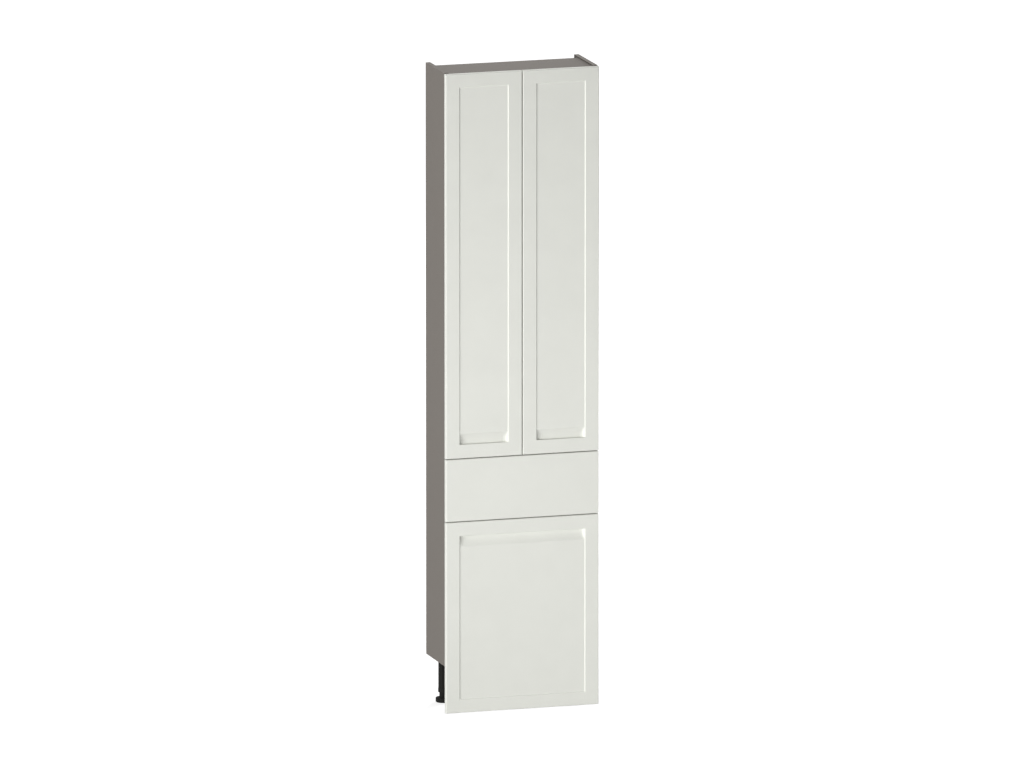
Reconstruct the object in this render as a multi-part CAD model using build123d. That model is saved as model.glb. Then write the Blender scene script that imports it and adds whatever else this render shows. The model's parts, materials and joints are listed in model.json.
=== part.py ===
from build123d import *
import math
import os

os.makedirs("parts", exist_ok=True)

# Driving sizes in millimetres. X runs right, Y runs back and Z up, with the feet standing on Z = 0.
width = 600.0                # across the two sides
carcass_depth = 242.0        # front edge to rear edge of the sides
carcass_height = 2265.0      # length of the sides
leg_height = 182.0           # floor to the underside of the carcass
board = 18.0                 # carcass board
front_thick = 18.0           # doors and drawer fronts
front_gap = 3.0              # between neighbouring fronts
rest_gap = 3.0               # between the fronts and the carcass
floor_gap = 4.0              # under the lower front
top_reveal = 2.5             # fronts end this far below the sides
top_drop = 5.0               # top panel lies this far below the sides
drawer_front_height = 238.0
lower_front_height = 731.5
back_setback = 45.0          # open space behind the back panel
back_thick = 6.0             # back panel and drawer bottoms
shelf_count = 4
hinge_count = 3              # on each door

# Sizes of the framed fronts
edge_round = 3.0
stile = 52.5
plain_rail = 49.5
grip_rail = 53.5
recess_depth = 3.0
recess_slope = 45.0          # degrees by which the field's edges lean
lip_ease = 1.6               # reach of the eased lip over the finger scoop, on either face
lip_bulge = 0.3              # how far it bulges from a plain chamfer towards the sharp corner
scoop_depth = 12.5
scoop_reach = 40.0           # lip to the far end of the hollow
scoop_flat = 4.0             # deepest part, before the hollow rises to the field
scoop_undercut = 4.0         # lip overhangs the hollow
scoop_crease = 27.0          # degrees at which the hollow meets the field
scoop_end = 20.0             # length over which the hollow runs out at either end
scoop_steps = 6              # sections along that length, besides the first
scoop_power = 6              # power of the curve that the ends follow, steeper for a higher one
cut_spare = 0.5              # cutters reach this far past what they cut

# Places worked out from the driving sizes
half_width = width / 2
inner_half = half_width - board
overall_depth = carcass_depth + rest_gap + front_thick
face_y = -overall_depth / 2
rest_y = face_y + front_thick
carcass_y = rest_y + rest_gap
rear_y = overall_depth / 2
back_rear_y = rear_y - back_setback
back_y = back_rear_y - back_thick
carcass_top = leg_height + carcass_height
panel_top = carcass_top - top_drop
back_base = leg_height + board
lower_top = floor_gap + lower_front_height
drawer_base = lower_top + front_gap
drawer_top = drawer_base + drawer_front_height
door_base = drawer_top + front_gap
door_top = carcass_top - top_reveal
divider_lower_base = lower_top + front_gap / 2 - board / 2
divider_upper_base = drawer_top + front_gap / 2 - board / 2
store_base = divider_upper_base + board
store_top = panel_top - board

# Boards: their free edges are banded and slightly rounded
band_round = 0.8
back_groove = 8.0

# Shelves and their pins
shelf_pitch = (store_top - store_base) / (shelf_count + 1)
shelf_inset = 10.0
shelf_play = 1.0
pin_radius = 2.45
pin_hole_radius = 2.5
pin_hole_depth = 11.0
pin_hole_pitch = 32.0
pin_hole_spares = 2          # on either side of each shelf's own holes
pin_end_play = 1.0
pin_edge = 37.0
pin_head = 8.0

# Panel connectors: cams, bolts and dowels
connector_front = 20.0
connector_rear = 64.0
dowel_step = 30.0
cam_reach = 24.0
cam_radius = 7.4
cam_height = 12.5
cam_slot_half = 4.5
cam_slot_width = 1.6
cam_slot_depth = 1.5
bolt_radius = 3.0
bolt_play = 0.5
thread_radius = 2.4
dowel_radius = 3.95
dowel_half = 15.0
dowel_shift = 3.0            # further into the panel than into the side
dowel_end_play = 1.0
bore_play = 0.1

# Screws with pan heads and cross drives
pilot_play = 0.1
drive_width = 0.9
drive_depth = 0.7
head_round = 0.5

# Concealed hinges: the turning axis lies inside the door, in the cup
axis_inset = 7.5
axis_depth = 9.0
cup_radius = 17.5
cup_wall = 1.0
cup_depth = 13.0
cup_edge = 3.0
hinge_end = 110.0
hinge_pin_radius = 1.2
barrel_radius = 2.2
arm_half = 5.0
arm_sheet = 1.8
arm_clear = 12.2
arm_back = 72.0
arm_channel_start = 22.0
arm_channel_depth = 5.0
arm_channel_half = 7.5
arm_play = 0.05
knob_radius = 3.2
knob_height = 1.2
knob_front = 10.0
knob_rear = 12.0
plate_setback = 37.0
plate_half_height = 24.0
plate_half_depth = 9.0
spine_front = 24.0
spine_rear = 22.0
plate_screw_half = 16.0
plate_screw_head_radius = 3.6
plate_screw_head = 1.8
flat_rest = 0.5              # straight length left between two rounded corners
rim_width = 1.0
wing_half_length = 30.0
wing_half_width = 6.0
cup_screw_half = 23.0
cup_screw_shift = 5.5
cup_screw_length = 9.0
cup_screw_radius = 1.8
cup_screw_head_radius = 3.2
cup_screw_head = 1.0

# Soft pads on the doors
pad_edge = 14.0
pad_radius = 3.0
pad_clear = 0.4

# Ball-bearing runners, three nested members
runner_width = 12.7
runner_sheet = 1.2
runner_half_height = 22.5
runner_start = 2.0
runner_end_gap = 9.0
runner_screw_edge = 35.0
runner_screw_head_radius = 3.8
runner_screw_head = 1.6
outer_flange = 9.5
middle_gap = 1.9
middle_flange = 7.7
middle_web_gap = 3.3
middle_half_height = 19.2
inner_flange = 5.5
inner_half_height = 14.0

# Drawer boxes
box_board = 12.0
box_groove = 6.0
box_floor_rise = 12.0
box_end_gap = 10.0
box_clear = 16.0             # over the panel below
box_round = 1.5
drawer_box_height = 162.0
pullout_box_height = 263.0
drawer_runner_rise = 42.0
pullout_runner_rise = 60.0
drawer_box_base = divider_lower_base + board + box_clear
pullout_box_base = back_base + box_clear
drawer_runner_z = drawer_box_base + drawer_runner_rise
pullout_runner_z = pullout_box_base + pullout_runner_rise
front_screw_side = 55.0
front_screw_edge = 45.0
front_screw_length = 8.0
front_screw_radius = 1.9
front_screw_head_radius = 4.0
front_screw_head = 2.0

# Legs
leg_side = 57.0
leg_front = 46.0
leg_rear = 34.5
flange_radius = 25.0
flange_thick = 5.0
sleeve_radius = 18.0
sleeve_lip = 16.0
lip_rise = 1.5
foot_radius = 29.0
foot_thick = 20.5
foot_ease = 2.5
foot_crown = 4.5
foot_travel = 15.0
foot_clear = 3.0             # left over the foot at the end of its travel
grip_count = 8
grip_radius = 8.0
grip_depth = 2.0
neck_radius = 15.0
neck_play = 0.4
thread_depth = 0.8
thread_pitch = 3.0
thread_turns = 24
rib_count = 12
rib_rise = 0.8
rib_half = 1.0
leg_screw_circle = 21.5
leg_screw_count = 4
leg_screw_turn = 45.0        # degrees from the cabinet's right to the first screw
leg_screw_length = 11.0
leg_screw_radius = 1.9
leg_screw_head_radius = 3.0
leg_screw_head = 1.8
sleeve_base = foot_thick + foot_travel + foot_clear

# Wall rail behind the back panel
rail_height = 90.0
rail_drop = 40.0
wall_hole_half = 200.0
wall_hole_radius = 3.0
access_radius = 8.0
cap_lid = 1.5
cap_overlap = 2.0


def block(x_low, x_high, y_low, y_high, z_low, z_high):
    """Box between six planes."""
    middle = ((x_low + x_high) / 2, (y_low + y_high) / 2, (z_low + z_high) / 2)
    return Pos(*middle) * Box(x_high - x_low, y_high - y_low, z_high - z_low)


def rod_x(x_low, x_high, y, z, radius):
    """Round bar along X."""
    return Pos((x_low + x_high) / 2, y, z) * Rot(0, 90, 0) * Cylinder(radius, x_high - x_low)


def rod_y(x, y_low, y_high, z, radius):
    """Round bar along Y."""
    return Pos(x, (y_low + y_high) / 2, z) * Rot(90, 0, 0) * Cylinder(radius, y_high - y_low)


def rod_z(x, y, z_low, z_high, radius):
    """Round bar along Z."""
    return Pos(x, y, (z_low + z_high) / 2) * Cylinder(radius, z_high - z_low)


def other_side(shape):
    """The same shape on the right-hand half."""
    return mirror(shape, about=Plane.YZ)


def both_sides(shapes):
    """Shapes on the left with their mirror images on the right."""
    return shapes + [other_side(shape) for shape in shapes]


def screw(length, radius, head_height, head_radius):
    """Screw with its head on top, the head's underside at Z = 0 and a cross drive."""
    head = Pos(0, 0, head_height / 2) * Cylinder(head_radius, head_height)
    domed = fillet(head.edges().sort_by(Axis.Z)[-1], head_round)
    bar = Pos(0, 0, head_height) * Box(head_radius, drive_width, 2 * drive_depth)
    shank = Pos(0, 0, -length / 2) * Cylinder(radius, length)
    return shank + domed - [bar, Rot(0, 0, 90) * bar]


def front_edges(board_shape):
    """Long edges of a level board's front."""
    return board_shape.faces().sort_by(Axis.Y)[0].edges().filter_by(Axis.X)


def save(name, shapes):
    """Write one piece, or a group of equal pieces, to its file."""
    solids = [solid for shape in shapes for solid in shape.solids()]
    export_step(solids[0] if len(solids) == 1 else Compound(solids), f"parts/{name}.step")


# Carcass connectors

def panel_bases():
    """Underside heights of the four panels fixed between the sides."""
    return [panel_top - board, divider_upper_base, divider_lower_base, leg_height]


def connector_rows():
    """Y places of the cam bolts, front and rear."""
    return [carcass_y + connector_front, back_y - connector_rear]


def dowel_rows():
    """Y places of the dowels, just inside the cam bolts."""
    front, rear = connector_rows()
    return [front + dowel_step, rear - dowel_step]


def panel_places(rows):
    """Mid-thickness places of connectors along the panel ends."""
    return [(y, base + board / 2) for base in panel_bases() for y in rows]


def rail_places():
    """Places of the dowels in the ends of the wall rail."""
    return [(rear_y - board / 2, wall_hole_z() + sign * rail_height / 4) for sign in (-1, 1)]


def cam_bolt(y, z):
    """Bolt from the left side into its cam."""
    shank = rod_x(-inner_half, -inner_half + cam_reach, y, z, bolt_radius)
    thread = rod_x(pin_hole_end() + pin_end_play, -inner_half, y, z, thread_radius)
    return shank + thread


def cam(y, z):
    """Cam let into the underside of a panel, open towards its bolt, with a cross slot."""
    x = -inner_half + cam_reach
    low = z - board / 2
    disc = rod_z(x, y, low, low + cam_height, cam_radius)
    mouth = rod_x(x - cam_radius - cut_spare, x + bolt_radius, y, z, bolt_radius + bolt_play)
    bar = Box(2 * cam_slot_half, cam_slot_width, 2 * cam_slot_depth)
    slots = [Pos(x, y, low) * bar, Pos(x, y, low) * Rot(0, 0, 90) * bar]
    return disc - [mouth] - slots


def dowel(y, z):
    """Wooden dowel across the joint of a panel and the left side."""
    middle = -inner_half + dowel_shift
    return rod_x(middle - dowel_half, middle + dowel_half, y, z, dowel_radius)


def dowel_bore(y, z):
    """Hole for a dowel in both boards."""
    middle = -inner_half + dowel_shift
    reach = dowel_half + dowel_end_play
    return rod_x(middle - reach, middle + reach, y, z, dowel_radius + bore_play / 2)


def cross_panel(base, rear):
    """Panel between the sides, from the front to a rear place, with bores for its connectors."""
    z = base + board / 2
    plain = block(-inner_half, inner_half, carcass_y, rear, base, base + board)
    plain = fillet(front_edges(plain), band_round)
    bores = []
    for y in connector_rows():
        x = -inner_half + cam_reach
        bores.append(rod_z(x, y, base, base + cam_height + bore_play, cam_radius + bore_play))
        bores.append(rod_x(-inner_half, x, y, z, bolt_radius + bolt_play))
    bores += [dowel_bore(y, z) for y in dowel_rows()]
    return plain - both_sides(bores)


# Carcass boards

def shelf_undersides():
    """Underside heights of the loose shelves."""
    return [store_base + shelf_pitch * (step + 1) - board / 2 for step in range(shelf_count)]


def pin_hole_end():
    """X place of the blind end of the small holes in the left side."""
    return -inner_half - pin_hole_depth


def pin_columns():
    """Y places of the shelf pins."""
    return [carcass_y + pin_edge, back_y - pin_edge]


def pin_hole_heights():
    """Heights of the pin holes, with spare ones on either side of each shelf's own."""
    steps = range(-pin_hole_spares, pin_hole_spares + 1)
    return [low - pin_radius + step * pin_hole_pitch for low in shelf_undersides() for step in steps]


def hinge_heights():
    """Heights of the hinges, evenly spread over the door."""
    span = door_top - door_base - 2 * hinge_end
    return [door_base + hinge_end + span * step / (hinge_count - 1) for step in range(hinge_count)]


def plate_screw_places():
    """Places of the screws that hold the hinge plates."""
    y = carcass_y + plate_setback
    return [(y, z + sign * plate_screw_half) for z in hinge_heights() for sign in (-1, 1)]


def runner_rows():
    """Y places of the screws in a runner."""
    return [carcass_y + runner_screw_edge, back_y - runner_screw_edge]


def runner_screw_places():
    """Places of the screws that hold the runners."""
    return [(y, z) for z in (drawer_runner_z, pullout_runner_z) for y in runner_rows()]


def side_board():
    """Left side with a groove for the back panel and every bore."""
    plain = block(-half_width, -inner_half, carcass_y, rear_y, leg_height, carcass_top)
    plain = fillet(plain.edges().filter_by(Axis.Z), band_round)
    cuts = [block(-inner_half - back_groove, -inner_half, back_y, back_rear_y, back_base, panel_top)]
    holes = [(y, z) for y in pin_columns() for z in pin_hole_heights()]
    holes += panel_places(connector_rows()) + plate_screw_places() + runner_screw_places()
    cuts += [rod_x(pin_hole_end(), -inner_half, y, z, pin_hole_radius) for y, z in holes]
    cuts += [dowel_bore(y, z) for y, z in panel_places(dowel_rows()) + rail_places()]
    return plain - cuts


def back_board():
    """Thin back panel that stands on the bottom panel, with two access holes to the wall rail."""
    reach = inner_half + back_groove
    plain = block(-reach, reach, back_y, back_rear_y, back_base, panel_top)
    return plain - [rod_y(x, back_y, back_rear_y, wall_hole_z(), access_radius) for x in wall_hole_places()]


def wall_hole_places():
    """X places of the wall screws."""
    return [-wall_hole_half, wall_hole_half]


def wall_hole_z():
    """Height of the wall screws."""
    return carcass_top - rail_drop - rail_height / 2


def wall_rail():
    """Rail that rests against the wall, drilled for two wall screws."""
    high = carcass_top - rail_drop
    plain = block(-inner_half, inner_half, rear_y - board, rear_y, high - rail_height, high)
    holes = [rod_y(x, rear_y - board, rear_y, wall_hole_z(), wall_hole_radius) for x in wall_hole_places()]
    return plain - holes - both_sides([dowel_bore(y, z) for y, z in rail_places()])


def access_cap(x):
    """Cap that closes an access hole from inside."""
    lid = rod_y(x, back_y - cap_lid, back_y, wall_hole_z(), access_radius + cap_overlap)
    lid = fillet(lid.edges().sort_by(Axis.Y)[0], head_round)
    plug = rod_y(x, back_y, back_rear_y, wall_hole_z(), access_radius - bore_play)
    return lid + plug


def shelf(low):
    """Loose shelf."""
    reach = inner_half - shelf_play
    plain = block(-reach, reach, carcass_y + shelf_inset, back_y - shelf_play, low, low + board)
    return fillet(front_edges(plain), band_round)


def shelf_pin(y, low):
    """Pin in the left side with a flat head under the shelf."""
    shank = rod_x(pin_hole_end() + pin_end_play, -inner_half, y, low - pin_radius, pin_radius)
    head = block(-inner_half, -inner_half + pin_head, y - pin_head / 2, y + pin_head / 2, low - pin_head, low)
    return shank + head


# Fronts

def slab(x_low, x_high, z_low, z_high):
    """Plain front with rounded face edges."""
    plain = block(x_low, x_high, face_y, rest_y, z_low, z_high)
    face = plain.faces().sort_by(Axis.Y)[0]
    return fillet(face.edges(), edge_round)


def scoop_section(x, share, edge_z, turn):
    """Section of the finger scoop; share is its part of the full depth below the field.

    turn is 1 where the field lies above the lip and -1 where it lies below.
    """
    field = face_y + recess_depth
    floor = field + share * (scoop_depth - recess_depth)
    lean = turn * scoop_undercut / scoop_depth
    outside = face_y - cut_spare
    far_z = edge_z + turn * scoop_reach
    bend = math.radians(share * scoop_crease)
    flat_end = (floor, edge_z + turn * scoop_flat)
    crease = (field, far_z)
    rise = Spline(flat_end, crease, tangents=[(0, turn), (-math.sin(bend), turn * math.cos(bend))])
    corner = Vector(face_y, edge_z)
    ease_start = Vector(face_y, edge_z - turn * lip_ease)
    ease_end = Vector(face_y + lip_ease, edge_z - lean * lip_ease)
    chamfer_middle = (ease_start + ease_end) / 2
    ease = ThreePointArc(ease_start, chamfer_middle + (corner - chamfer_middle) * lip_bulge, ease_end)
    rim = Polyline(crease, (outside, far_z), (outside, ease_start.Y), ease_start)
    wall = Polyline(ease_end, (floor, edge_z - lean * (floor - face_y)), flat_end)
    return Plane.YZ.offset(x) * make_face([rim, ease, wall, rise])


def scoop_run_out(x_end, inward, edge_z, turn):
    """Rounded end of the finger scoop: its sections deepen fast at the end and ever slower inwards."""
    sections = []
    for step in range(scoop_steps + 1):
        along = (step / scoop_steps) ** 2
        share = 1 - (1 - along) ** scoop_power
        sections.append(scoop_section(x_end + inward * along * scoop_end, share, edge_z, turn))
    return loft(sections)


def slope_foot():
    """How far the field's sloped edges reach inwards."""
    return recess_depth * math.tan(math.radians(recess_slope))


def scoop(x_low, x_high, edge_z, turn):
    """Cutter for the finger scoop, between the feet of the field's sloped edges."""
    left = x_low + slope_foot()
    right = x_high - slope_foot()
    middle = scoop_section(left + scoop_end, 1, edge_z, turn)
    bar = extrude(middle, amount=right - left - 2 * scoop_end, dir=(1, 0, 0))
    return bar + [scoop_run_out(left, 1, edge_z, turn), scoop_run_out(right, -1, edge_z, turn)]


def framed_front(x_low, x_high, z_low, z_high, grip_at_top):
    """Front with a sunk field, sloped on three sides, and a finger scoop under the square fourth."""
    low_rail = plain_rail if grip_at_top else grip_rail
    high_rail = grip_rail if grip_at_top else plain_rail
    left = x_low + stile
    right = x_high - stile
    low = z_low + low_rail
    high = z_high - high_rail
    past_lip = 2 * slope_foot()
    span = (low, high + past_lip) if grip_at_top else (low - past_lip, high)
    middle = ((left + right) / 2, face_y, sum(span) / 2)
    field = Plane(origin=middle, x_dir=(1, 0, 0), z_dir=(0, 1, 0)) * Rectangle(right - left, span[1] - span[0])
    square = block(left, right, face_y - cut_spare, rest_y, low, high)
    sunk = extrude(field, amount=recess_depth, taper=recess_slope) & square
    lip_z = high if grip_at_top else low
    grip = scoop(left, right, lip_z, -1 if grip_at_top else 1)
    return slab(x_low, x_high, z_low, z_high) - sunk - grip


# Hinges on the left door

def axis_x():
    """X place of the left door's turning axis."""
    return -half_width + axis_inset


def axis_y():
    """Y place of the turning axis."""
    return rest_y - axis_depth


def cup_x():
    """X place of the cup's middle."""
    return -half_width + cup_edge + cup_radius


def cup_screw_x():
    """X place of the cup screws, a little further in than the cup."""
    return cup_x() + cup_screw_shift


def cup_bore(z):
    """Hole in the door for a cup."""
    return rod_y(cup_x(), rest_y - cup_depth, rest_y, z, cup_radius + bore_play)


def cup_screw_bore(z):
    """Pilot hole for a cup screw."""
    deep = rest_y - cup_screw_length - pin_end_play
    return rod_y(cup_screw_x(), deep, rest_y, z, cup_screw_radius + pilot_play)


def cup_screw_heights():
    """Heights of the cup screws."""
    return [z + sign * cup_screw_half for z in hinge_heights() for sign in (-1, 1)]


def hinge_cup(z):
    """Cup with its flange and the pin that the arm turns on."""
    x = cup_x()
    shell = rod_y(x, rest_y - cup_depth, rest_y, z, cup_radius)
    top = rest_y + cup_wall
    rim = rod_y(x, rest_y, top, z, cup_radius + rim_width)
    flange = block(cup_screw_x() - wing_half_width, cup_screw_x() + wing_half_width, rest_y, top,
                   z - wing_half_length, z + wing_half_length)
    wings = fillet(flange.edges().filter_by(Axis.Y), wing_half_width - flat_rest)
    hollow = rod_y(x, rest_y - cup_depth + cup_wall, top, z, cup_radius - cup_wall)
    heights = [z + sign * cup_screw_half for sign in (-1, 1)]
    holes = [rod_y(cup_screw_x(), rest_y, top, height, cup_screw_radius + pilot_play) for height in heights]
    pin = rod_z(axis_x(), axis_y(), z - cup_radius, z + cup_radius, hinge_pin_radius) & shell
    return (shell + rim + wings) - [hollow] - holes + pin


def cup_screw(z):
    """Screw through the cup's flange into the door."""
    length = cup_screw_length + cup_wall
    piece = screw(length, cup_screw_radius, cup_screw_head, cup_screw_head_radius)
    return Pos(cup_screw_x(), rest_y + cup_wall, z) * Rot(-90, 0, 0) * piece


def hinge_arm(z):
    """Bent arm from the hinge plate into the cup, with an eye around the pin."""
    x = axis_x()
    y = axis_y()
    outer = x + arm_clear + arm_sheet
    low = y - barrel_radius
    sole = block(x, outer, low, low + arm_sheet, z - arm_half, z + arm_half)
    stem = block(x + arm_clear, outer, low, y + arm_back, z - arm_half, z + arm_half)
    eye = rod_z(x, y, z - arm_half, z + arm_half, barrel_radius)
    hole = rod_z(x, y, z - arm_half, z + arm_half, hinge_pin_radius + arm_play)
    start = y + arm_channel_start
    reach = x + arm_clear + arm_channel_depth
    cover = block(x + arm_clear, reach, start, y + arm_back, z - arm_channel_half, z + arm_channel_half)
    top = cover.faces().sort_by(Axis.X)[-1]
    rounded = fillet(top.edges(), arm_sheet)
    knob = Rot(0, 90, 0) * screw(arm_sheet, cup_screw_radius, knob_height, knob_radius)
    knobs = [Pos(reach, row, z) * knob for row in (start + knob_front, y + arm_back - knob_rear)]
    return (sole + stem + eye + rounded + knobs) - hole


def hinge_plate(z):
    """Plate on the inside of the left side, carrying an arm."""
    low = -inner_half
    high = axis_x() + arm_clear
    y = carcass_y + plate_setback
    flange = block(low, high, y - plate_half_depth, y + plate_half_depth,
                   z - plate_half_height, z + plate_half_height)
    wings = fillet(flange.edges().filter_by(Axis.X), plate_half_depth - flat_rest)
    spine = block(low, high, y - spine_front, y + spine_rear, z - arm_channel_half, z + arm_channel_half)
    holes = [rod_x(low, high, y, z + sign * plate_screw_half, thread_radius + bore_play) for sign in (-1, 1)]
    return wings + spine - holes


def plate_screw(y, z):
    """Screw through a hinge plate into the left side."""
    high = axis_x() + arm_clear
    length = high - pin_hole_end() - pin_end_play
    piece = screw(length, thread_radius, plate_screw_head, plate_screw_head_radius)
    return Pos(high, y, z) * Rot(0, 90, 0) * piece


def bumper(z):
    """Soft pad on the back of the left door, near its free edge."""
    top = rest_y + rest_gap - pad_clear
    pad = rod_y(-front_gap / 2 - pad_edge, rest_y, top, z, pad_radius)
    return fillet(pad.edges().sort_by(Axis.Y)[-1], head_round)


def bumper_heights():
    """Heights of the pads, against the top panel and the upper divider."""
    return [(door_base + store_base) / 2, panel_top - board / 2]


def left_door():
    """Left door with its hinge bores."""
    plain = framed_front(-half_width, -front_gap / 2, door_base, door_top, False)
    bores = [cup_bore(z) for z in hinge_heights()]
    return plain - bores - [cup_screw_bore(z) for z in cup_screw_heights()]


# Runners on the left

def runner_span():
    """Y ends of the closed runner members."""
    return carcass_y + runner_start, back_y - runner_end_gap


def channel(x_low, x_high, web_low, half_height, z):
    """Runner member with a web and two flanges."""
    front, rear = runner_span()
    web = block(web_low, web_low + runner_sheet, front, rear, z - half_height, z + half_height)
    top = block(x_low, x_high, front, rear, z + half_height - runner_sheet, z + half_height)
    bottom = block(x_low, x_high, front, rear, z - half_height, z - half_height + runner_sheet)
    return web + top + bottom


def runner_outer(z):
    """Member screwed to the side."""
    low = -inner_half
    holes = [rod_x(low, low + runner_sheet, y, z, thread_radius + bore_play) for y in runner_rows()]
    return channel(low, low + outer_flange, low, runner_half_height, z) - holes


def runner_middle(z):
    """Member that travels half as far as the drawer."""
    low = -inner_half + middle_gap
    return channel(low, low + middle_flange, low + middle_web_gap, middle_half_height, z)


def runner_inner(z):
    """Member fixed to the drawer box."""
    high = -inner_half + runner_width
    return channel(high - inner_flange, high, high - runner_sheet, inner_half_height, z)


def runner_screw(y, z):
    """Screw that holds an outer member to the side."""
    high = -inner_half + runner_sheet
    length = high - pin_hole_end() - pin_end_play
    piece = screw(length, thread_radius, runner_screw_head, runner_screw_head_radius)
    return Pos(high, y, z) * Rot(0, 90, 0) * piece


# Drawer boxes

def box_half():
    """Half of the outside width of a drawer box."""
    return inner_half - runner_width


def box_rear():
    """Y place of the box's rear end."""
    return back_y - box_end_gap


def box_floor(base):
    """Drawer bottom held in grooves on all four boards."""
    reach = box_half() - box_board + box_groove
    front = rest_y + box_board - box_groove
    rear = box_rear() - box_board + box_groove
    low = base + box_floor_rise
    return block(-reach, reach, front, rear, low, low + back_thick)


def top_edges(board_shape, axis):
    """Long edges on top of an upright board."""
    return board_shape.faces().sort_by(Axis.Z)[-1].edges().filter_by(axis)


def box_side(base, height):
    """Left box board, grooved for the bottom."""
    plain = block(-box_half(), -box_half() + box_board, rest_y, box_rear(), base, base + height)
    return fillet(top_edges(plain, Axis.Y), box_round) - box_floor(base)


def box_end(y_low, base, height):
    """Board between the box sides, grooved for the bottom."""
    reach = box_half() - box_board
    plain = block(-reach, reach, y_low, y_low + box_board, base, base + height)
    return fillet(top_edges(plain, Axis.X), box_round) - box_floor(base)


def front_screw_places(base, height):
    """Places of the screws that join a front to its box."""
    reach = box_half() - box_board - front_screw_side
    heights = (base + front_screw_edge, base + height - front_screw_edge)
    return [(x, z) for x in (-reach, reach) for z in heights]


def front_screw(x, z):
    """Screw from inside the box into the front."""
    length = front_screw_length + box_board
    piece = screw(length, front_screw_radius, front_screw_head, front_screw_head_radius)
    return Pos(x, rest_y + box_board, z) * Rot(-90, 0, 0) * piece


def front_screw_bores(base, height):
    """Holes for the front screws."""
    deep = rest_y - front_screw_length - pin_end_play
    radius = front_screw_radius + pilot_play
    return [rod_y(x, deep, rest_y + box_board, z, radius) for x, z in front_screw_places(base, height)]


def save_drawer(name, front, base, height, runner_z):
    """Write the front, box boards, screws and runners of one drawer."""
    bores = front_screw_bores(base, height)
    side = box_side(base, height)
    save(f"{name}_front", [front - bores])
    save(f"{name}_side_left", [side])
    save(f"{name}_side_right", [other_side(side)])
    save(f"{name}_box_front", [box_end(rest_y, base, height) - bores])
    save(f"{name}_box_back", [box_end(box_rear() - box_board, base, height)])
    save(f"{name}_bottom", [box_floor(base)])
    save(f"{name}_front_screws", [front_screw(x, z) for x, z in front_screw_places(base, height)])
    save(f"{name}_runners_outer", both_sides([runner_outer(runner_z)]))
    save(f"{name}_runners_middle", both_sides([runner_middle(runner_z)]))
    save(f"{name}_runners_inner", both_sides([runner_inner(runner_z)]))


# Legs

def leg_places():
    """Short names and floor places of the four legs."""
    x = half_width - leg_side
    front = carcass_y + leg_front
    rear = rear_y - leg_rear
    rows = {"front": front, "rear": rear}
    return {f"{row}_{side}": (at, y) for row, y in rows.items() for side, at in (("left", -x), ("right", x))}


def flange_spots():
    """Screw places on a leg's flange, seen from its middle."""
    circle = PolarLocations(leg_screw_circle, leg_screw_count, leg_screw_turn)
    return [place.position for place in circle]


def leg_screw_places():
    """Floor places of every leg screw."""
    return [(x + spot.X, y + spot.Y) for x, y in leg_places().values() for spot in flange_spots()]


def leg_sleeve():
    """Ribbed sleeve with a flange under the carcass and a bore for the foot's neck."""
    low = leg_height - flange_thick
    body = rod_z(0, 0, sleeve_base, leg_height, sleeve_radius)
    lip = rod_z(0, 0, sleeve_base, sleeve_base + sleeve_lip, sleeve_radius + lip_rise)
    flange = rod_z(0, 0, low, leg_height, flange_radius)
    eased = fillet(flange.edges().sort_by(Axis.Z)[0], head_round)
    rib_low = sleeve_base + sleeve_lip
    rib = block(sleeve_radius - rib_rise, sleeve_radius + rib_rise, -rib_half, rib_half, rib_low, low)
    ribs = [place * rib for place in PolarLocations(0, rib_count)]
    bore = rod_z(0, 0, sleeve_base, low - flange_thick, neck_radius + neck_play)
    radius = leg_screw_radius + pilot_play
    holes = [rod_z(spot.X, spot.Y, low, leg_height, radius) for spot in flange_spots()]
    return (body + lip + eased + ribs) - [bore] - holes


def leg_screw():
    """Screw up through a leg's flange."""
    piece = screw(leg_screw_length + flange_thick, leg_screw_radius, leg_screw_head, leg_screw_head_radius)
    return Pos(0, 0, leg_height - flange_thick) * Rot(180, 0, 0) * piece


def foot():
    """Foot with a threaded neck, turned from one profile, with finger notches round its rim."""
    disc = [(0, 0), (foot_radius - foot_ease, 0), (foot_radius, foot_ease)]
    disc += [(foot_radius, foot_thick - foot_crown), (foot_radius - foot_ease, foot_thick - foot_ease)]
    disc.append((neck_radius, foot_thick))
    thread = []
    for turn in range(thread_turns):
        low = foot_thick + turn * thread_pitch
        thread.append((neck_radius - thread_depth, low + thread_pitch / 2))
        thread.append((neck_radius, low + thread_pitch))
    top = foot_thick + thread_turns * thread_pitch
    outline = Polyline(disc + thread + [(0, top)], close=True)
    turned = revolve(Plane.XZ * make_face(outline), Axis.Z)
    notch = rod_z(0, 0, 0, foot_thick, grip_radius)
    circle = PolarLocations(foot_radius - grip_depth + grip_radius, grip_count)
    return turned - [place * notch for place in circle]


def bottom_panel():
    """Bottom panel over the full depth, with pilot holes for the leg screws."""
    high = leg_height + leg_screw_length + pin_end_play
    radius = leg_screw_radius + pilot_play
    bores = [rod_z(x, y, leg_height, high, radius) for x, y in leg_screw_places()]
    return cross_panel(leg_height, rear_y) - bores


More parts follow.
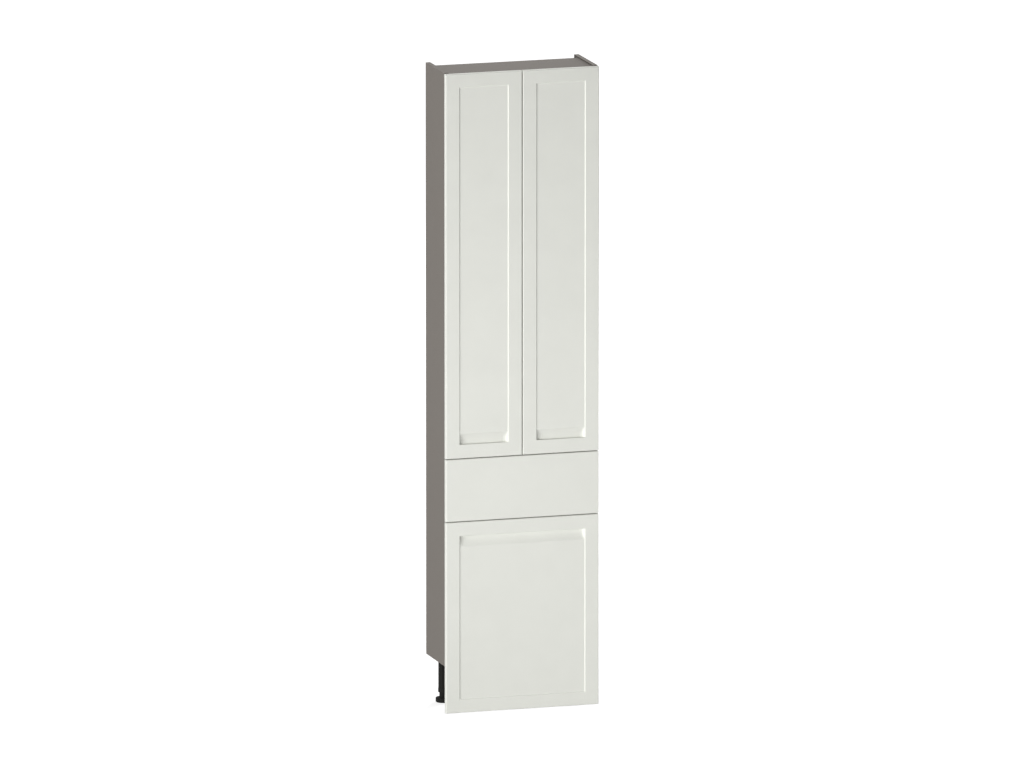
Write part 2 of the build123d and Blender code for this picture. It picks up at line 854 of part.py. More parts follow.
# Write the carcass
left_side = side_board()
save("side_left", [left_side])
save("side_right", [other_side(left_side)])
save("top_panel", [cross_panel(panel_top - board, back_y)])
save("bottom_panel", [bottom_panel()])
save("divider_upper", [cross_panel(divider_upper_base, back_y)])
save("divider_lower", [cross_panel(divider_lower_base, back_y)])
save("back_panel", [back_board()])
save("wall_rail", [wall_rail()])
save("access_caps", [access_cap(x) for x in wall_hole_places()])
for number, underside in enumerate(shelf_undersides(), start=1):
    save(f"shelf_{number}", [shelf(underside)])
save("shelf_pins", both_sides([shelf_pin(y, low) for y in pin_columns() for low in shelf_undersides()]))
save("cam_bolts", both_sides([cam_bolt(y, z) for y, z in panel_places(connector_rows())]))
save("cam_locks", both_sides([cam(y, z) for y, z in panel_places(connector_rows())]))
save("dowels", both_sides([dowel(y, z) for y, z in panel_places(dowel_rows()) + rail_places()]))
save("hinge_plates", both_sides([hinge_plate(z) for z in hinge_heights()]))
save("hinge_arms", both_sides([hinge_arm(z) for z in hinge_heights()]))
save("hinge_plate_screws", both_sides([plate_screw(y, z) for y, z in plate_screw_places()]))
save("runner_screws", both_sides([runner_screw(y, z) for y, z in runner_screw_places()]))

# Write the doors
door = left_door()
cups = [hinge_cup(z) for z in hinge_heights()]
cup_screws = [cup_screw(z) for z in cup_screw_heights()]
pads = [bumper(z) for z in bumper_heights()]
for name, pieces in {"door": [door], "hinge_cups": cups, "cup_screws": cup_screws, "bumpers": pads}.items():
    save(f"{name}_left", pieces)
    save(f"{name}_right", [other_side(piece) for piece in pieces])

# Write the drawers
drawer_slab = slab(-half_width, half_width, drawer_base, drawer_top)
lower_front = framed_front(-half_width, half_width, floor_gap, lower_top, True)
save_drawer("drawer", drawer_slab, drawer_box_base, drawer_box_height, drawer_runner_z)
save_drawer("pullout", lower_front, pullout_box_base, pullout_box_height, pullout_runner_z)

# Write the legs
for name, (x, y) in leg_places().items():
    save(f"leg_sleeve_{name}", [Pos(x, y, 0) * leg_sleeve()])
    save(f"foot_{name}", [Pos(x, y, 0) * foot()])
save("leg_screws", [Pos(x, y, 0) * leg_screw() for x, y in leg_screw_places()])
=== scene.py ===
"""Looks of a tall pantry cabinet: lacquered fronts, a melamine carcass, steel fittings and black legs."""

import json
import logging
import math
from dataclasses import dataclass, field, replace
from enum import Enum, IntEnum
from typing import Any

import bpy
import numpy as np
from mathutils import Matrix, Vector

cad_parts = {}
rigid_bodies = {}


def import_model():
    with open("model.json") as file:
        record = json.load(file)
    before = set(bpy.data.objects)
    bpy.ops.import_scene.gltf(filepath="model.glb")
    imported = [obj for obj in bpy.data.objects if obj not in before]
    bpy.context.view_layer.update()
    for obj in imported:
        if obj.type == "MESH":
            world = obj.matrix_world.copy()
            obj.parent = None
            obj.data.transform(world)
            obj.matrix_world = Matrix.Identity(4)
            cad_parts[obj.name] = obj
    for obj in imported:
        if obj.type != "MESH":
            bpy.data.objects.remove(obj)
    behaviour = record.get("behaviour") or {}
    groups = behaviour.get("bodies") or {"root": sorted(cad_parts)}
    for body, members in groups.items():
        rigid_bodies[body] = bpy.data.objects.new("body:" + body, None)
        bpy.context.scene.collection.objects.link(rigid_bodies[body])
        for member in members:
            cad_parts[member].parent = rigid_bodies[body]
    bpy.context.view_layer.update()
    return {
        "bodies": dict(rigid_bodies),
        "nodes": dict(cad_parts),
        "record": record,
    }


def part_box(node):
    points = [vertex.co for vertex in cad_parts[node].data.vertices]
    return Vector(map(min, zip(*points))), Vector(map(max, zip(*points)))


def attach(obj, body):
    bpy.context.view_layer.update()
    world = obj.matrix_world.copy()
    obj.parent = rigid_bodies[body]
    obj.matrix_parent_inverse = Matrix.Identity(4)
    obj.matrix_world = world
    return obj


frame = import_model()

log = logging.getLogger("pantry")

MM = 0.001
WHITE = "FFFFFF"
NOISE_LOW = 0.3     # plain noise keeps mostly between these two levels
NOISE_HIGH = 0.7


class Axis(IntEnum):
    """Axes of the frame: to the right, to the rear and up."""

    X = 0
    Y = 1
    Z = 2


class Slot(Enum):
    """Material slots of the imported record."""

    FRONT = "front_lacquer"
    CARCASS = "carcass_melamine"
    HARDBOARD = "hardboard"
    BEECH = "beech"
    LEG = "leg_plastic"
    PAD = "pad_rubber"
    CAP = "cap_plastic"
    RUNNER = "runner_steel"
    BRIGHT = "bright_steel"


# Node trees and finishes

def linear(code: str) -> tuple[float, float, float, float]:
    """Turn an sRGB hex colour into linear light.

    Args:
        code: six hex digits.

    Returns:
        Linear red, green, blue and an alpha of one.
    """
    levels = np.array([int(code[i:i + 2], 16) for i in (0, 2, 4)]) / 255
    light = np.where(levels <= 0.04045, levels / 12.92, ((levels + 0.055) / 1.055) ** 2.4)
    return (float(light[0]), float(light[1]), float(light[2]), 1.0)


def add(tree: bpy.types.NodeTree, kind: str, settings: dict[str, Any], **inputs: Any) -> bpy.types.Node:
    """Add a node with its settings, socket values and links.

    Args:
        tree: node tree that gets the node.
        kind: Blender's name of the node type.
        settings: properties of the node itself.
        inputs: socket identifiers, or names with spaces as underscores, and a value or an output for each.

    Returns:
        The new node.
    """
    node = tree.nodes.new(kind)
    for name, value in settings.items():
        setattr(node, name, value)
    for name, value in inputs.items():
        label = name.replace("_", " ")
        socket = next(s for s in node.inputs if s.enabled and (s.identifier == name or s.name == label))
        if isinstance(value, bpy.types.NodeSocket):
            tree.links.new(value, socket)
        else:
            socket.default_value = value
    return node


@dataclass(frozen=True)
class Grain:
    """Noise pattern of one real size.

    Args:
        size_mm: distance between neighbouring grains.
        stretch: how much longer the grains are along each axis.
        detail: octaves of finer noise.
    """

    size_mm: float
    stretch: tuple[float, float, float] = (1.0, 1.0, 1.0)
    detail: float = 2.0

    def output(self, tree: bpy.types.NodeTree) -> bpy.types.NodeSocket:
        """Add the noise on Object coordinates and spread its level over 0 to 1.

        Args:
            tree: node tree that gets the noise.

        Returns:
            The level, which plain noise would keep near its middle.
        """
        place = add(tree, "ShaderNodeTexCoord", {})
        scale = tuple(1.0 / value for value in self.stretch)
        drawn = add(tree, "ShaderNodeMapping", {}, Vector=place.outputs["Object"], Scale=scale)
        noise = add(tree, "ShaderNodeTexNoise", {}, Vector=drawn.outputs["Vector"],
                    Scale=1.0 / (self.size_mm * MM), Detail=self.detail)
        wide = add(tree, "ShaderNodeMapRange", {}, Value=noise.outputs["Fac"], From_Min=NOISE_LOW,
                   From_Max=NOISE_HIGH)
        return wide.outputs[0]


@dataclass(frozen=True)
class Finish:
    """A finish with two tones, a gloss that varies and a fine relief.

    Args:
        name: what the real material is.
        dark: sRGB hex of the darker tone.
        light: sRGB hex of the lighter tone.
        tone: pattern that mixes the two tones.
        relief: pattern of the surface's relief.
        relief_mm: height of the relief.
        rough: lowest and highest roughness.
        metallic: one for bare metal.
        ior: index of refraction of a finish that isn't metal.
        specular: level of its reflections, where one half is what the index gives.
    """

    name: str
    dark: str
    light: str
    tone: Grain
    relief: Grain
    relief_mm: float
    rough: tuple[float, float]
    metallic: float = 0.0
    ior: float = 1.5
    specular: float = 0.5

    def material(self) -> bpy.types.Material:
        """Build the node material.

        Returns:
            The material, reading Object coordinates only.
        """
        material = bpy.data.materials.new(self.name)
        material.use_nodes = True
        tree = material.node_tree
        tree.nodes.clear()
        relief = self.relief.output(tree)
        colour = add(tree, "ShaderNodeMix", {"data_type": "RGBA"}, Factor=self.tone.output(tree),
                     A_Color=linear(self.dark), B_Color=linear(self.light))
        rough = add(tree, "ShaderNodeMapRange", {}, Value=relief, To_Min=self.rough[0], To_Max=self.rough[1])
        bump = add(tree, "ShaderNodeBump", {}, Height=relief, Distance=self.relief_mm * MM, Strength=1.0)
        shader = add(tree, "ShaderNodeBsdfPrincipled", {}, Base_Color=colour.outputs[2],
                     Roughness=rough.outputs[0], Normal=bump.outputs[0], Metallic=self.metallic, IOR=self.ior,
                     Specular_IOR_Level=self.specular)
        add(tree, "ShaderNodeOutputMaterial", {}, Surface=shader.outputs[0])
        return material


FINISHES: dict[Slot, Finish] = {
    # Sprayed satin lacquer on fibreboard: an even pale coat, with a faint orange peel that dulls its gloss.
    Slot.FRONT: Finish("satin lacquer on fibreboard", dark="E1E2DB", light="E3E4DD", tone=Grain(90.0),
                       relief=Grain(3.0, detail=1.0), relief_mm=0.006, rough=(0.48, 0.56), specular=0.3),
    # Melamine-faced chipboard with a fine pressed grain, which swallows part of the reflections: dull, with
    # a barely seen speckle.
    Slot.CARCASS: Finish("melamine-faced chipboard", dark="6D6863", light="746F69",
                         tone=Grain(1.6, detail=4.0), relief=Grain(1.2), relief_mm=0.020, rough=(0.66, 0.76),
                         specular=0.25),
    # Painted hardboard, pressed smooth: a little darker than the boards and less dull.
    Slot.HARDBOARD: Finish("painted hardboard", dark="67625D", light="6D6862", tone=Grain(6.0, detail=3.0),
                           relief=Grain(2.0), relief_mm=0.015, rough=(0.62, 0.72)),
    # Turned beech: warm and streaked along the dowel.
    Slot.BEECH: Finish("turned beech", dark="B8936A", light="CDAA80", tone=Grain(0.8, (12.0, 1.0, 1.0)),
                       relief=Grain(0.5, (12.0, 1.0, 1.0)), relief_mm=0.05, rough=(0.55, 0.70)),
    # Injection-moulded black ABS with a deep spark-eroded grain, drawn coarser than it is so that it shows.
    # The grain swallows most of the reflections: dull.
    Slot.LEG: Finish("moulded black ABS", dark="11110F", light="171715", tone=Grain(3.0), relief=Grain(0.7),
                     relief_mm=0.05, rough=(0.75, 0.88), ior=1.53, specular=0.2),
    # Moulded silicone pad: pale and slightly glossy.
    Slot.PAD: Finish("silicone rubber", dark="CFCFC9", light="D8D8D2", tone=Grain(2.0), relief=Grain(1.0),
                     relief_mm=0.01, rough=(0.30, 0.40), ior=1.41),
    # Moulded polypropylene cap: near the boards' colour, with a plastic's gloss.
    Slot.CAP: Finish("moulded polypropylene", dark="645F5A", light="6A655F", tone=Grain(4.0),
                     relief=Grain(0.8), relief_mm=0.02, rough=(0.40, 0.50), ior=1.49),
    # Zinc-plated rolled sheet: bluish grey, streaked along the runner.
    Slot.RUNNER: Finish("zinc-plated rolled steel", dark="A9ACAF", light="BFC2C4",
                        tone=Grain(1.5, (1.0, 25.0, 1.0)), relief=Grain(0.8, (1.0, 25.0, 1.0)),
                        relief_mm=0.010, rough=(0.26, 0.40), metallic=1.0),
    # Nickel-plated pressed steel: warm bright grey with a soft sheen.
    Slot.BRIGHT: Finish("nickel-plated steel", dark="BEBBB4", light="CECBC4", tone=Grain(8.0),
                        relief=Grain(0.6), relief_mm=0.004, rough=(0.20, 0.30), metallic=1.0),
}

# Extruded ABS band in the boards' colour: smoother than their faces, so their edges catch a thin highlight.
EDGE_BAND = replace(FINISHES[Slot.CARCASS], name="extruded ABS edge band", tone=Grain(12.0),
                    relief=Grain(2.5), relief_mm=0.006, rough=(0.34, 0.42), ior=1.53, specular=0.5)


# Surfaces

Section = list[tuple[float, float]]


@dataclass(frozen=True)
class Shell:
    """Closed surface as whole arrays.

    Args:
        points: corners in metres, shape (n, 3).
        quads: corner numbers of the four-sided faces, counter-clockwise seen from outside.
        tris: corner numbers of the three-sided faces.
    """

    points: np.ndarray
    quads: np.ndarray
    tris: np.ndarray = field(default_factory=lambda: np.zeros((0, 3), int))

    def copies(self, places: np.ndarray) -> "Shell":
        """Repeat the shell.

        Args:
            places: where each copy's origin goes, shape (m, 3).

        Returns:
            One shell with the points place + point of every copy.
        """
        shift = np.arange(len(places))[:, None, None] * len(self.points)
        points = (places[:, None, :] + self.points).reshape(-1, 3)
        return Shell(points, (shift + self.quads).reshape(-1, 4), (shift + self.tris).reshape(-1, 3))

    def with_twin(self) -> "Shell":
        """Add the mirror image on the cabinet's other side.

        Returns:
            Points (x, y, z) and (-x, y, z), with the twin's faces turned round to point outwards.
        """
        shift = len(self.points)
        points = np.concatenate([self.points, self.points * (-1.0, 1.0, 1.0)])
        quads = np.concatenate([self.quads, self.quads[:, ::-1] + shift])
        tris = np.concatenate([self.tris, self.tris[:, ::-1] + shift])
        return Shell(points, quads, tris)

    def piece(self, name: str, smooth: bool) -> bpy.types.Object:
        """Put the shell into the scene, at the origin.

        Args:
            name: name of the piece.
            smooth: shade it as one round surface.

        Returns:
            The new object.
        """
        mesh = bpy.data.meshes.new(name)
        mesh.from_pydata(self.points.tolist(), [], self.quads.tolist() + self.tris.tolist())
        mesh.polygons.foreach_set("use_smooth", np.full(len(mesh.polygons), smooth))
        mesh.update()
        piece = bpy.data.objects.new(name, mesh)
        bpy.context.scene.collection.objects.link(piece)
        return piece


def strip(outer: np.ndarray, inner: np.ndarray, along: np.ndarray) -> Shell:
    """Bent strip carried straight along one direction.

    Its section is the loop along the outer line and back along the inner one. The loop stands at the start
    and, moved by along, at the end. Walls join the two loops, and each end is closed between its two lines.
    A loop that turns clockwise seen from the end is taken the other way, so that the faces point outwards.

    Args:
        outer: points of the outer line, shape (n, 3).
        inner: points of the inner line, one for each outer point.
        along: the way from the start to the end.

    Returns:
        The closed strip.
    """
    loop = np.concatenate([outer, inner[::-1]])
    if np.cross(loop, np.roll(loop, -1, axis=0)).sum(axis=0) @ along < 0:
        loop = np.concatenate([outer[::-1], inner])
    count = len(loop)
    here = np.arange(count)
    after = np.roll(here, -1)
    walls = np.stack([here, after, after + count, here + count], axis=1)
    first = np.arange(len(outer) - 1)
    back = count - 1 - first
    start_cap = np.stack([first, back, back - 1, first + 1], axis=1)
    end_cap = start_cap[:, ::-1] + count
    return Shell(np.concatenate([loop, loop + along]), np.concatenate([walls, start_cap, end_cap]))


def ball(radius: float, around: int, upward: int) -> Shell:
    """Ball about the origin.

    Its points are r (cos v cos u, cos v sin u, sin v) for a turn u and a height angle v between the poles,
    which are one point each.

    Args:
        radius: radius in metres.
        around: faces round the ball.
        upward: faces from pole to pole.

    Returns:
        The closed ball.
    """
    turn, rise = np.meshgrid(np.linspace(0.0, 2 * np.pi, around, endpoint=False),
                             np.linspace(-np.pi / 2, np.pi / 2, upward + 1)[1:-1])
    sides = np.stack([np.cos(rise) * np.cos(turn), np.cos(rise) * np.sin(turn), np.sin(rise)], axis=-1)
    points = radius * np.concatenate([sides.reshape(-1, 3), [[0.0, 0.0, -1.0], [0.0, 0.0, 1.0]]])
    grid = np.arange((upward - 1) * around).reshape(upward - 1, around)
    beside = np.roll(grid, -1, axis=1)
    quads = np.stack([grid[:-1], beside[:-1], beside[1:], grid[1:]], axis=-1).reshape(-1, 4)
    south = np.full(around, grid.size)
    low = np.stack([south, beside[0], grid[0]], axis=1)
    high = np.stack([south + 1, grid[-1], beside[-1]], axis=1)
    return Shell(points, quads, np.concatenate([low, high]))


# Sub-assemblies

@dataclass
class SubAssembly:
    """Bodies of the frame that belong together, with the pieces added to them.

    Args:
        bodies: names of the bodies.
        paints: material of each slot.
    """

    bodies: tuple[str, ...]
    paints: dict[Slot, bpy.types.Material]

    def build(self) -> None:
        """Make the pieces that the frame lacks; a class that says nothing of them has none."""

    def dress(self) -> None:
        """Give every CAD node of the bodies the material of its slot in the record."""
        slots = {part["node"]: Slot(part["material_slot"]) for part in frame["record"]["subparts"]}
        for body in self.bodies:
            for name in frame["record"]["behaviour"]["bodies"][body]:
                materials = frame["nodes"][name].data.materials
                materials.clear()
                materials.append(self.paints[slots[name]])
                log.info("%s: %s", name, slots[name].value)

    def place(self, piece: bpy.types.Object, body: str, slot: Slot, paint: bpy.types.Material) -> None:
        """Dress a new piece and let it ride on a body.

        Args:
            piece: the new piece.
            body: name of the body that carries it.
            slot: slot that its finish comes from.
            paint: its material.
        """
        piece.data.materials.append(paint)
        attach(piece, body)
        log.info("%s: new, on %s, %s", piece.name, body, slot.value)


@dataclass
class Carcass(SubAssembly):
    """Boards, fittings, outer runners and leg sleeves, which stay put; its boards get edge bands.

    Args:
        upright: boards whose banded front edge stands upright.
        level: boards whose banded front edge lies level.
        band_round: rounding of the boards' front edges in millimetres.
        band_proud: how far a band stands over the board's front in millimetres.
        band_sunk: how far its back lies inside the board in millimetres.
        band_end: how far a band stops short of the board's ends in millimetres.
        corner_steps: faces round each corner.
    """

    upright: tuple[str, ...] = ("side_left", "side_right")
    level: tuple[str, ...] = ("top_panel", "divider_upper", "divider_lower", "bottom_panel",
                              "shelf_1", "shelf_2", "shelf_3", "shelf_4")
    band_round: float = 0.8
    band_proud: float = 0.04
    band_sunk: float = 0.3
    band_end: float = 0.1
    corner_steps: int = 8

    def band_line(self, board: float, at_face: float, at_front: float) -> np.ndarray:
        """Line over a board's front edge.

        The line starts on one face and turns by a quarter about the corner's centre, which lies r inside the
        face and the front. Its distance from that centre is r + f + (g - f) sin v at the turn v, with f and g
        its offsets at the face and at the front. It crosses the front and goes back the same way.

        Args:
            board: thickness of the board in metres.
            at_face: offset at the face in metres, outwards.
            at_front: offset at the front in metres, outwards.

        Returns:
            Points (across the board, backwards), shape (n, 2).
        """
        radius = self.band_round * MM
        angle = np.linspace(0.0, np.pi / 2, self.corner_steps + 1)
        reach = radius + at_face + (at_front - at_face) * np.sin(angle)
        half = np.stack([board / 2 - radius + reach * np.cos(angle), radius - reach * np.sin(angle)], axis=1)
        return np.concatenate([half, half[::-1] * (-1.0, 1.0)])

    def band(self, name: str, across: Axis, along: Axis) -> Shell:
        """Edge band of one board.

        Args:
            name: CAD node of the board.
            across: axis of the board's thickness.
            along: axis of its front edge.

        Returns:
            The band, which ends flush with the board's faces.
        """
        low, high = (np.array(corner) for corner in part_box(name))
        ends = self.band_end * MM
        origin = (low + high) / 2
        origin[Axis.Y] = low[Axis.Y]
        origin[along] = low[along] + ends
        way = np.zeros(3)
        way[along] = high[along] - low[along] - 2 * ends
        lines = []
        for at_face, at_front in ((0.0, self.band_proud), (-self.band_sunk, -self.band_sunk)):
            flat = self.band_line(high[across] - low[across], at_face * MM, at_front * MM)
            line = np.tile(origin, (len(flat), 1))
            line[:, across] += flat[:, 0]
            line[:, Axis.Y] += flat[:, 1]
            lines.append(line)
        return strip(lines[0], lines[1], way)

    def build(self) -> None:
        """Make an edge band for every board that shows its front edge."""
        paint = EDGE_BAND.material()
        edges = [(name, Axis.X, Axis.Z) for name in self.upright]
        edges += [(name, Axis.Z, Axis.X) for name in self.level]
        for name, across, along in edges:
            piece = self.band(name, across, along).piece(f"edge_band_{name}", smooth=False)
            self.place(piece, "carcass", Slot.CARCASS, paint)


@dataclass
class Doors(SubAssembly):
    """Both doors with their hinge cups, screws and pads; the frame holds all of them."""


@dataclass
class Legs(SubAssembly):
    """The four feet; the frame holds all of them."""


class RunnerPart(Enum):
    """Members of a runner, as their CAD nodes are named."""

    OUTER = "outer"
    MIDDLE = "middle"
    INNER = "inner"


class Row(IntEnum):
    """Rows of balls above and below a runner's middle, as the sign of their height."""

    UPPER = 1
    LOWER = -1


@dataclass(frozen=True)
class Member:
    """Place of a left-hand runner member, in metres.

    Args:
        edge: its left-hand edge.
        front: its front end.
        middle: its mid-height.
        half: half of its height.
    """

    edge: float
    front: float
    middle: float
    half: float


@dataclass
class Drawer(SubAssembly):
    """Drawer on ball-bearing runners; its balls and their cages run between the runners' members.

    A cage keeps to the front of the slower member, where the two members overlap at any travel.

    Args:
        name: how the drawer's CAD nodes begin.
        sheet: thickness of the runners' steel in millimetres.
        middle_flange: width of the middle member's flanges in millimetres.
        cage_length: length of a cage in millimetres.
        cage_sheet: thickness of a cage in millimetres.
        outer_play: room between the outer cages and the outer member in millimetres.
        inner_play: room between the inner cages and the inner member in millimetres.
        hook: height of the outer cages' hooks in millimetres.
        ball_play: room above and below a ball in millimetres.
        ball_pitch: distance between balls in millimetres.
        ball_around: faces round a ball.
        ball_upward: faces of a ball from pole to pole.
    """

    name: str = "drawer"
    sheet: float = 1.2
    middle_flange: float = 7.7
    cage_length: float = 90.0
    cage_sheet: float = 0.4
    outer_play: float = 0.15
    inner_play: float = 0.3
    hook: float = 3.5
    ball_play: float = 0.05
    ball_pitch: float = 7.5
    ball_around: int = 8
    ball_upward: int = 5

    def member(self, part: RunnerPart) -> Member:
        """Measure a left-hand runner member.

        Args:
            part: which member it is.

        Returns:
            Its place.
        """
        low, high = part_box(f"{self.name}_runners_{part.value}")
        bottom, top = low[Axis.Z], high[Axis.Z]
        return Member(low[Axis.X], low[Axis.Y], (bottom + top) / 2, (top - bottom) / 2)

    def balls(self, x: float, start: Member, lower: float, upper: float) -> Shell:
        """Two rows of balls, above and below a runner's middle.

        Args:
            x: place of the rows across the cabinet.
            start: member at whose front end the rows begin.
            lower: distance from the middle to the nearer flange.
            upper: distance from the middle to the further flange.

        Returns:
            Evenly spaced balls on the left and their twins on the right.
        """
        pitch = self.ball_pitch * MM
        y = start.front + pitch * (np.arange(int(self.cage_length / self.ball_pitch)) + 0.5)
        z = start.middle + (lower + upper) / 2 * np.array([-1.0, 1.0])
        places = np.stack(np.meshgrid([x], y, z, indexing="ij"), axis=-1).reshape(-1, 3)
        radius = (upper - lower) / 2 - self.ball_play * MM
        return ball(radius, self.ball_around, self.ball_upward).copies(places).with_twin()

    def cage(self, section: Section, inside: Section, start: Member) -> Shell:
        """Cage of one bent section, carried backwards from the front end of the members.

        Args:
            section: outer points (across, up from the runner's middle) of the section.
            inside: the same points moved inwards by the cage's thickness.
            start: member at whose front end the cage begins.

        Returns:
            The cage on the left and its twin on the right.
        """
        lines = [np.insert(np.array(line), 1, 0.0, axis=1) for line in (section, inside)]
        origin = np.array([0.0, start.front, start.middle])
        way = np.array([0.0, self.cage_length * MM, 0.0])
        return strip(lines[0] + origin, lines[1] + origin, way).with_twin()

    def outer_cage(self, outer: Member, reach: float, height: float, row: Row) -> Shell:
        """Hooked cage of one row of balls between the outer and middle members.

        Args:
            outer: the outer member.
            reach: how far the cage reaches across the cabinet.
            height: distance of the row from the runner's middle.
            row: which row it is.

        Returns:
            The cages on both sides of the cabinet.
        """
        thick = self.cage_sheet * MM
        web = outer.edge + (self.sheet + self.outer_play) * MM
        top = height + thick / 2
        end = row * (top - self.hook * MM)
        section = [(reach, row * top), (web, row * top), (web, end)]
        low = row * (top - thick)
        return self.cage(section, [(reach, low), (web + thick, low), (web + thick, end)], outer)

    def inner_cage(self, inner: Member, reach: float, height: float) -> Shell:
        """Channel-shaped cage of both rows of balls between the middle and inner members.

        Args:
            inner: the inner member.
            reach: how far the cage reaches across the cabinet.
            height: distance of the rows from the runner's middle.

        Returns:
            The cages on both sides of the cabinet.
        """
        thick = self.cage_sheet * MM
        inside_web = inner.edge - self.inner_play * MM
        web = inside_web - thick
        top = height + thick / 2
        low = height - thick / 2
        section = [(reach, -top), (web, -top), (web, top), (reach, top)]
        return self.cage(section, [(reach, -low), (inside_web, -low), (inside_web, low), (reach, low)], inner)

    def build(self) -> None:
        """Make the balls and cages between the outer, middle and inner members."""
        outer = self.member(RunnerPart.OUTER)
        middle = self.member(RunnerPart.MIDDLE)
        inner = self.member(RunnerPart.INNER)
        outer_flange = outer.half - self.sheet * MM
        middle_flange = middle.half - self.sheet * MM
        middle_end = middle.edge + self.middle_flange * MM
        outer_x = (middle.edge + middle_end) / 2
        inner_x = (inner.edge + middle_end) / 2
        outer_row = (middle.half + outer_flange) / 2
        inner_row = (inner.half + middle_flange) / 2
        outer_reach = outer_x + (outer_flange - middle.half) / 2
        inner_reach = inner_x + (middle_flange - inner.half) / 2
        carrier = f"{self.name}_middle"
        outer_balls = self.balls(outer_x, outer, middle.half, outer_flange)
        inner_balls = self.balls(inner_x, inner, inner.half, middle_flange)
        self.add_piece("balls_outer", outer_balls, "carcass", Slot.BRIGHT)
        self.add_piece("balls_inner", inner_balls, carrier, Slot.BRIGHT)
        for row in Row:
            cages = self.outer_cage(outer, outer_reach, outer_row, row)
            self.add_piece(f"cages_{row.name.lower()}", cages, "carcass", Slot.RUNNER)
        self.add_piece("cages_inner", self.inner_cage(inner, inner_reach, inner_row), carrier, Slot.RUNNER)

    def add_piece(self, kind: str, shell: Shell, body: str, slot: Slot) -> None:
        """Put a steel piece of the runners in place; only balls are shaded round."""
        piece = shell.piece(f"{self.name}_{kind}", kind.startswith("balls"))
        self.place(piece, body, slot, self.paints[slot])


# Light and camera

@dataclass(frozen=True)
class Lamp:
    """Soft oblong lamp that faces the cabinet.

    Args:
        name: name of the lamp.
        azimuth: its turn about the cabinet in degrees, negative to the left of the front.
        elevation: its height above the aim in degrees.
        distance: its distance from the aim in metres.
        aim: height of the point that it faces, in metres.
        size: its width and height in metres.
        level: light on a white surface that faces it at the aim, where one renders as white.
    """

    name: str
    azimuth: float
    elevation: float
    distance: float
    aim: float
    size: tuple[float, float]
    level: float

    def build(self) -> None:
        """Add the lamp; a power of P gives the level P / (pi d) squared at the distance d."""
        data = bpy.data.lights.new(self.name, "AREA")
        data.shape = "RECTANGLE"
        data.size, data.size_y = self.size
        data.energy = self.level * (math.pi * self.distance) ** 2
        lamp = bpy.data.objects.new(self.name, data)
        turn = math.radians(self.azimuth)
        tilt = math.radians(self.elevation)
        lamp.location = np.array([0.0, 0.0, self.aim]) + self.distance * outward(turn, tilt)
        lamp.rotation_euler = (math.pi / 2 - tilt, 0.0, turn)
        lamp.visible_camera = False
        bpy.context.scene.collection.objects.link(lamp)
        log.info("%s at level %.2f", self.name, self.level)


LAMPS: tuple[Lamp, ...] = (
    # Large lamp far to the left: bright left-hand edges and dark right-hand ones.
    Lamp("key_lamp", azimuth=-58.0, elevation=3.0, distance=12.0, aim=1.0, size=(8.0, 2.2), level=0.895),
    # Lamp near the front: the middle of the fronts is brightest.
    Lamp("front_lamp", azimuth=2.0, elevation=0.0, distance=3.0, aim=0.85, size=(1.0, 1.0), level=0.235),
    # Lamp over the rear edge for the top; the fronts don't see it.
    Lamp("top_lamp", azimuth=180.0, elevation=65.0, distance=1.5, aim=2.44, size=(0.6, 0.6), level=0.68),
    # Lamp behind on the right, for the back and the right-hand side.
    Lamp("rear_lamp", azimuth=135.0, elevation=15.0, distance=9.0, aim=1.2, size=(3.0, 3.0), level=0.60),
)


def outward(turn: float, tilt: float) -> np.ndarray:
    """Direction from the cabinet to a camera or lamp.

    Args:
        turn: azimuth in radians, zero in front of the cabinet.
        tilt: elevation in radians.

    Returns:
        Unit vector (sin turn cos tilt, -cos turn cos tilt, sin tilt).
    """
    return np.array([math.sin(turn) * math.cos(tilt), -math.cos(turn) * math.cos(tilt), math.sin(tilt)])


def seen(tree: bpy.types.NodeTree) -> bpy.types.NodeSocket:
    """Tell what is looked at from what only gives light.

    Args:
        tree: node tree of the floor or the world.

    Returns:
        One for rays from the camera, also by way of gloss or glass, and zero for the others.
    """
    path = add(tree, "ShaderNodeLightPath", {})
    direct = add(tree, "ShaderNodeMath", {"operation": "ADD"}, Value=path.outputs["Is Camera Ray"],
                 Value_001=path.outputs["Is Glossy Ray"])
    total = add(tree, "ShaderNodeMath", {"operation": "ADD", "use_clamp": True}, Value=direct.outputs[0],
                Value_001=path.outputs["Is Transmission Ray"])
    return total.outputs[0]


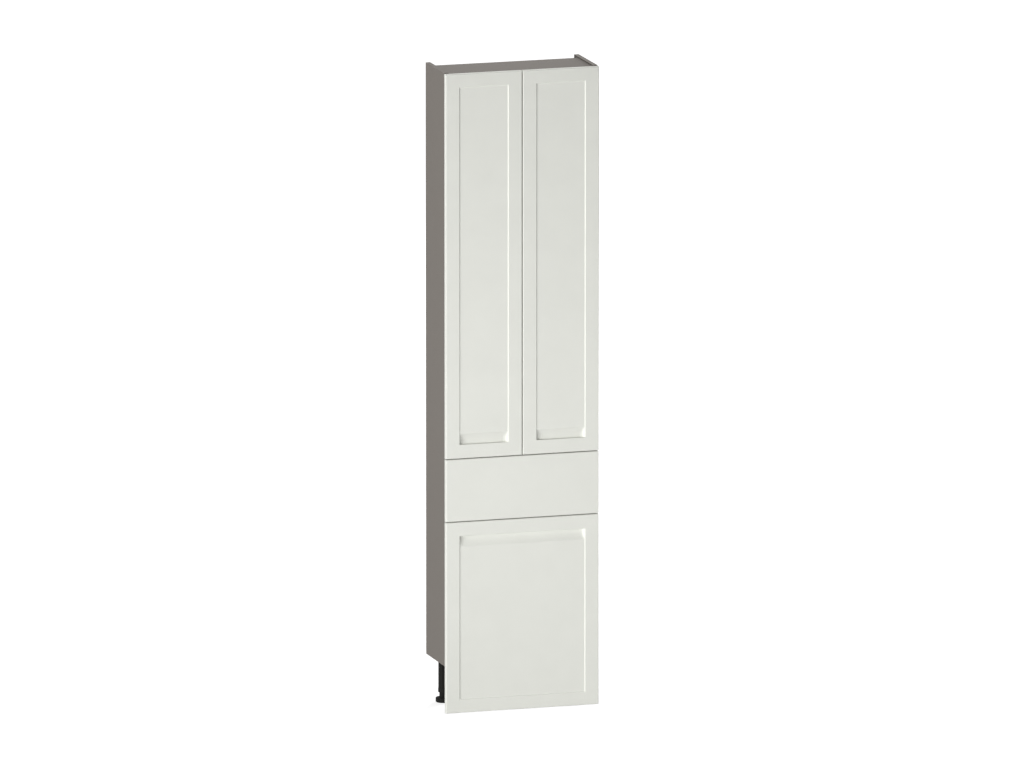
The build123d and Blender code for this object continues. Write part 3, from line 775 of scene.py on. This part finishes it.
@dataclass(frozen=True)
class Studio:
    """White studio with soft lamps and a long lens.

    Args:
        azimuth: camera's turn about the cabinet in degrees, negative to its left.
        elevation: camera's height above the horizon in degrees.
        distance: camera's distance from the target in metres.
        lens: focal length in millimetres on a sensor of the width below.
        sensor: width of the sensor in millimetres.
        target: point that the camera looks at.
        clip_near: distance from the camera where its view begins, in metres.
        clip_far: where its view ends, as a multiple of its distance from the target.
        ambient: level of the even light from all round.
        floor_tone: sRGB hex of the floor's paint.
        near_glow: what the camera sees of the floor near the cabinet, besides its lit paint.
        near: distance from the cabinet's middle where this glow starts to rise, in metres.
        far: distance where it reaches one, in metres.
        floor_reach: half of the floor's length in metres.
    """

    azimuth: float = -16.915
    elevation: float = 11.192
    distance: float = 69.615
    lens: float = 651.23
    sensor: float = 36.0
    target: tuple[float, float, float] = (-0.0014, 0.0, 1.2259)
    clip_near: float = 1.0
    clip_far: float = 5.0
    ambient: float = 0.19
    floor_tone: str = "CCCCCC"
    near_glow: float = 0.78
    near: float = 0.8
    far: float = 3.0
    floor_reach: float = 40.0

    def camera(self) -> None:
        """Place the camera and make it the scene's own."""
        turn = math.radians(self.azimuth)
        tilt = math.radians(self.elevation)
        data = bpy.data.cameras.new("photo_camera")
        data.lens = self.lens
        data.sensor_width = self.sensor
        data.clip_start = self.clip_near
        data.clip_end = self.clip_far * self.distance
        camera = bpy.data.objects.new("photo_camera", data)
        camera.location = np.array(self.target) + self.distance * outward(turn, tilt)
        camera.rotation_euler = (math.pi / 2 - tilt, 0.0, turn)
        bpy.context.scene.collection.objects.link(camera)
        bpy.context.scene.camera = camera

    def world(self) -> None:
        """Even light from all round that is seen as white."""
        world = bpy.data.worlds.new("studio_white")
        world.use_nodes = True
        tree = world.node_tree
        tree.nodes.clear()
        strength = add(tree, "ShaderNodeMapRange", {}, Value=seen(tree), To_Min=self.ambient, To_Max=1.0)
        back = add(tree, "ShaderNodeBackground", {}, Color=linear(WHITE), Strength=strength.outputs[0])
        add(tree, "ShaderNodeOutputWorld", {}, Surface=back.outputs[0])
        bpy.context.scene.world = world

    def floor(self) -> None:
        """Pale floor that is seen as white but for the cabinet's shadow."""
        corners = np.array([[-1, -1, 0], [1, -1, 0], [1, 1, 0], [-1, 1, 0]]) * self.floor_reach
        mesh = bpy.data.meshes.new("studio_floor")
        mesh.from_pydata(corners.tolist(), [], [(0, 1, 2, 3)])
        floor = bpy.data.objects.new("studio_floor", mesh)
        bpy.context.scene.collection.objects.link(floor)
        mesh.materials.append(self.floor_paint())

    def floor_paint(self) -> bpy.types.Material:
        """White paint that glows only where it is looked at, so that its shadow stays light.

        Returns:
            The floor's material.
        """
        material = bpy.data.materials.new("white floor paint")
        material.use_nodes = True
        tree = material.node_tree
        tree.nodes.clear()
        place = add(tree, "ShaderNodeTexCoord", {})
        length = add(tree, "ShaderNodeVectorMath", {"operation": "LENGTH"}, Vector=place.outputs["Object"])
        rise = add(tree, "ShaderNodeMapRange", {}, Value=length.outputs["Value"], From_Min=self.near,
                   From_Max=self.far, To_Min=self.near_glow, To_Max=1.0)
        share = add(tree, "ShaderNodeMapRange", {}, Value=seen(tree), To_Max=rise.outputs[0])
        paint = add(tree, "ShaderNodeBsdfDiffuse", {}, Color=linear(self.floor_tone))
        glow = add(tree, "ShaderNodeEmission", {}, Color=linear(WHITE), Strength=share.outputs[0])
        both = add(tree, "ShaderNodeAddShader", {}, Shader=paint.outputs[0], Shader_001=glow.outputs[0])
        add(tree, "ShaderNodeOutputMaterial", {}, Surface=both.outputs[0])
        return material

    def build(self) -> None:
        """Set up view, world, floor, lamps and camera."""
        bpy.context.scene.view_settings.view_transform = "Standard"
        self.world()
        self.floor()
        for lamp in LAMPS:
            lamp.build()
        self.camera()


def main() -> None:
    """Build the studio, then build and dress the cabinet's sub-assemblies in order."""
    logging.basicConfig(level=logging.INFO, format="%(message)s")
    Studio().build()
    paints = {slot: finish.material() for slot, finish in FINISHES.items()}
    feet = tuple(body for body in frame["bodies"] if body.startswith("foot_"))
    assemblies: tuple[SubAssembly, ...] = (
        Carcass(("carcass",), paints),
        Doors(("left_door", "right_door"), paints),
        Drawer(("drawer", "drawer_middle"), paints, "drawer"),
        Drawer(("pullout", "pullout_middle"), paints, "pullout"),
        Legs(feet, paints),
    )
    for assembly in assemblies:
        assembly.build()
        assembly.dress()


if __name__ == "__main__":
    main()
